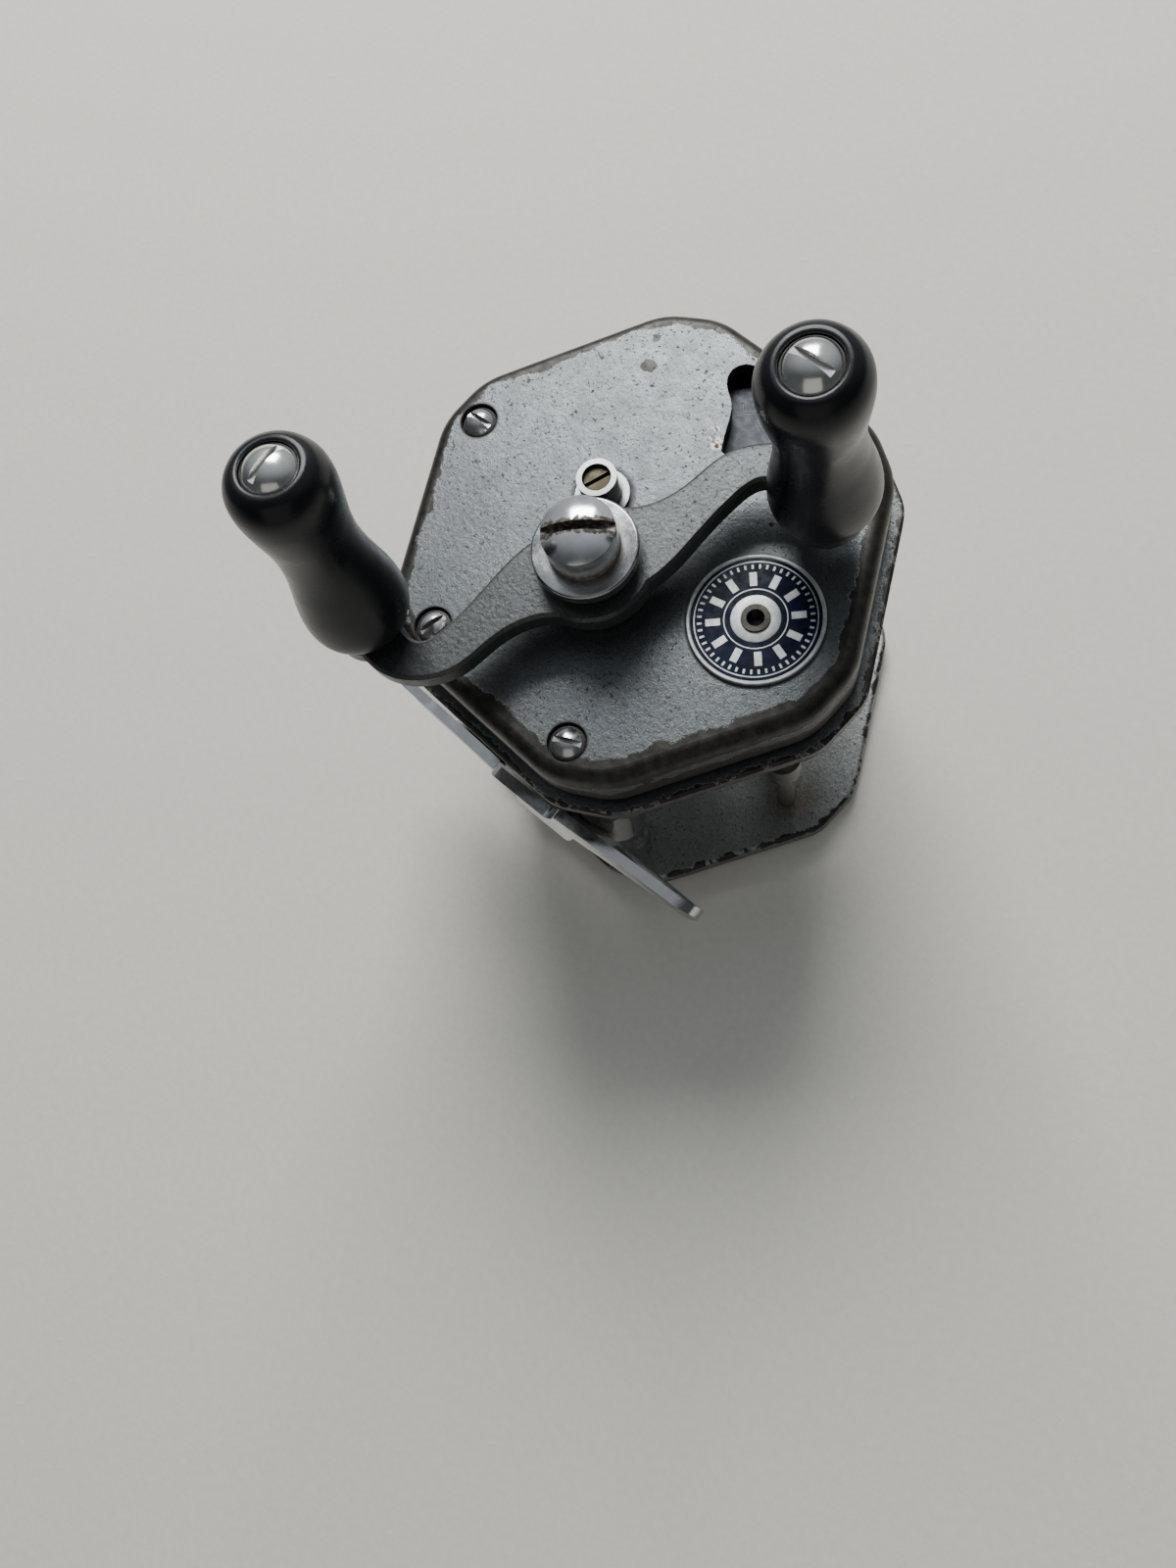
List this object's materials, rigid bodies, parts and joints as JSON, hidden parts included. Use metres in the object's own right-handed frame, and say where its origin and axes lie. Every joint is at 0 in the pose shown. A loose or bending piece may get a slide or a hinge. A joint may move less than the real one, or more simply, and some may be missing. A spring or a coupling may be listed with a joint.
{
  "type": "fishing reel",
  "caption": "Multiplying fishing reel with twelve-sided plates, double crank with two turned knobs, level wind, spool and a curved rod foot.",
  "frame": {"origin": "on the outer face of the tail plate, on the axis of the twelve-sided plates", "axes": "+Z along the spindles up to the crank side, -Y towards the rod foot, +X the way the line leaves"},
  "size_m": [0.077, 0.0774, 0.109],
  "materials": {
    "head_enamel": "hammered silver-grey enamel, worn at the edges",
    "frame_enamel": "grey enamel over alloy",
    "plated": "bright nickel-chrome plate",
    "steel": "turned steel",
    "brass": "cut brass",
    "bronze": "sintered bronze bearing",
    "black_knob": "polished black thermoset",
    "alloy": "turned aluminium",
    "badge_enamel": "navy enamel on a bright metal disc",
    "dial_plate": "blue-grey lacquered plate",
    "fibre": "red vulcanised fibre"
  },
  "bodies": {
    "frame": {"cover": "head_enamel", "head_plate": "frame_enamel", "tail_plate": "frame_enamel", "pillar_rear": "plated", "foot_pillar_rear": "plated", "foot_pillar_front": "plated", "pillar_top": "plated", "cover_screws": "plated", "tail_screws": "plated", "foot": "plated", "foot_bracket": "plated", "foot_rivets": "plated", "spool_bush_head": "bronze", "spool_bush_tail": "bronze", "tail_cap": "plated", "drive_bush": "bronze", "cover_bush": "head_enamel", "oil_tube": "plated", "oil_screw": "brass", "badge": "badge_enamel", "badge_eyelet": "bronze", "worm_bush_head": "bronze", "worm_bush_tail": "bronze", "guide_bar": "steel", "idler_pin": "steel", "dog_pin": "steel"},
    "crank": {"crank_arm": "head_enamel", "crank_collar": "plated", "crank_cap_screw": "plated", "drive_shaft": "steel", "ratchet_wheel": "steel", "drag_washer_fibre": "fibre", "main_gear": "brass", "drag_washer_steel": "steel", "knob_screw_front": "plated", "knob_screw_rear": "plated"},
    "knob_front": {"knob_front": "black_knob"},
    "knob_rear": {"knob_rear": "black_knob"},
    "spool": {"spool": "alloy", "spool_spindle": "steel", "spool_pinion": "brass", "click_wheel": "brass"},
    "idler": {"idler_gear": "brass"},
    "worm": {"worm_shaft": "steel", "worm_gear": "brass"},
    "line_guide": {"line_guide": "plated", "guide_pawl": "steel", "pawl_cap": "plated"},
    "regulator": {"regulator_dial": "dial_plate"},
    "anti_reverse": {"anti_reverse_dog": "steel"},
    "click_check": {"click_button": "plated", "click_pawl": "steel"}
  },
  "joints": [
    {"name": "crank_spin", "type": "hinge", "parent": "frame", "child": "crank", "pos_m": [0.0017, -0.00885, 0.064], "axis": [0, 0, 1], "continuous": true},
    {"name": "knob_front_spin", "type": "hinge", "parent": "crank", "child": "knob_front", "pos_m": [0.0203, 0.01705, 0.0727], "axis": [0.022, -0.0982, 0.9949], "continuous": true},
    {"name": "knob_rear_spin", "type": "hinge", "parent": "crank", "child": "knob_rear", "pos_m": [-0.0169, -0.03475, 0.0727], "axis": [-0.022, 0.0982, 0.9949], "continuous": true},
    {"name": "spool_spin", "type": "hinge", "parent": "frame", "child": "spool", "pos_m": [-0.008, 0.0016, 0.028], "axis": [0, 0, 1], "continuous": true},
    {"name": "idler_spin", "type": "hinge", "parent": "frame", "child": "idler", "pos_m": [0.01793, -0.00806, 0.058], "axis": [0, 0, 1], "continuous": true},
    {"name": "worm_spin", "type": "hinge", "parent": "frame", "child": "worm", "pos_m": [0.0217, 0.0012, 0.028], "axis": [0, 0, 1], "continuous": true},
    {"name": "line_guide_slide", "type": "slide", "parent": "frame", "child": "line_guide", "axis": [0, 0, 1], "range_m": [-0.0145, 0.0145]},
    {"name": "regulator_turn", "type": "hinge", "parent": "frame", "child": "regulator", "pos_m": [0.0015, 0.0212, 0.061], "axis": [0, 0, 1], "range_deg": [-15, 25]},
    {"name": "anti_reverse_swing", "type": "hinge", "parent": "frame", "child": "anti_reverse", "pos_m": [-0.0112, -0.0146, 0.0554], "axis": [0, 0, 1], "range_deg": [0, 8]},
    {"name": "click_slide", "type": "slide", "parent": "frame", "child": "click_check", "axis": [0.9397, 0.342, 0], "range_m": [0, 0.0016]}
  ],
  "couplings": [
    {"joint": "spool_spin", "follows": "crank_spin", "ratio": -3.75},
    {"joint": "idler_spin", "follows": "crank_spin", "ratio": -2.25},
    {"joint": "worm_spin", "follows": "crank_spin", "ratio": 2.25}
  ]
}
